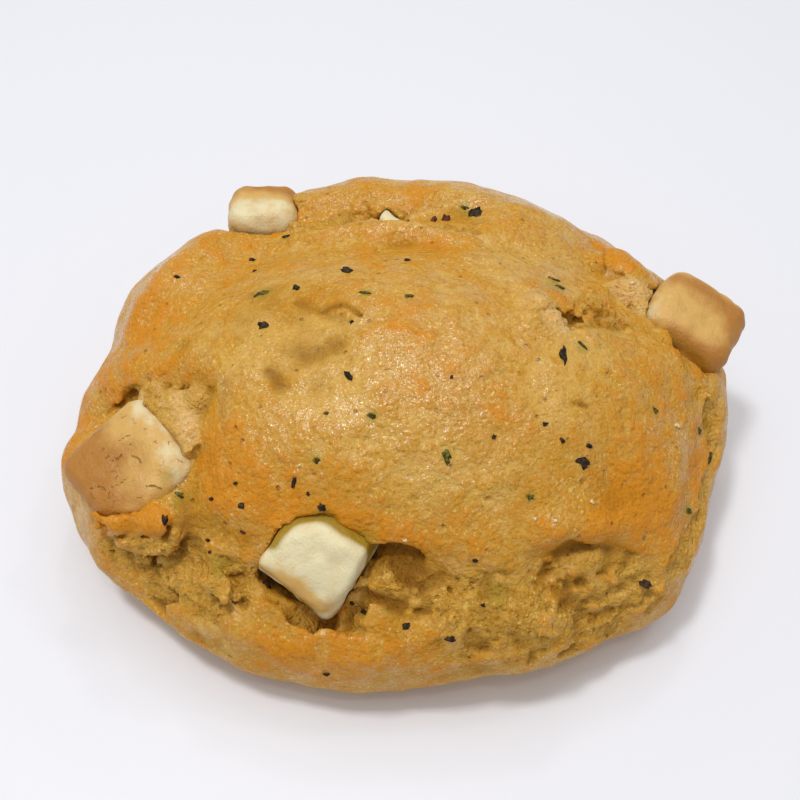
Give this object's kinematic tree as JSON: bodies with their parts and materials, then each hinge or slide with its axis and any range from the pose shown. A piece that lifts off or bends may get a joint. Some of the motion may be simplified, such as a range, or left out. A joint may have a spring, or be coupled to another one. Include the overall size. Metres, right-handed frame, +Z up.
{
  "type": "savoury scone",
  "caption": "Golden-brown oval savoury scone with a smooth domed crust, torn crumbly sides, cracked pepper and herbs, and cubes of baked cheese set into its edge",
  "frame": {"origin": "under the middle of the whole, on the flat base", "axes": "+Z up, +X to the right along the length, -Y to the front"},
  "size_m": [0.0962, 0.0806, 0.037],
  "materials": {
    "dough": "baked golden crust over a paler crumb",
    "browned_cheese": "firm cheese, browned by baking",
    "pale_cheese": "firm pale cheese"
  },
  "bodies": {
    "root": {"dough": "dough", "cheese_left": "browned_cheese", "cheese_front": "pale_cheese", "cheese_right": "browned_cheese", "cheese_rear_left": "browned_cheese", "cheese_rear": "pale_cheese"}
  },
  "joints": []
}
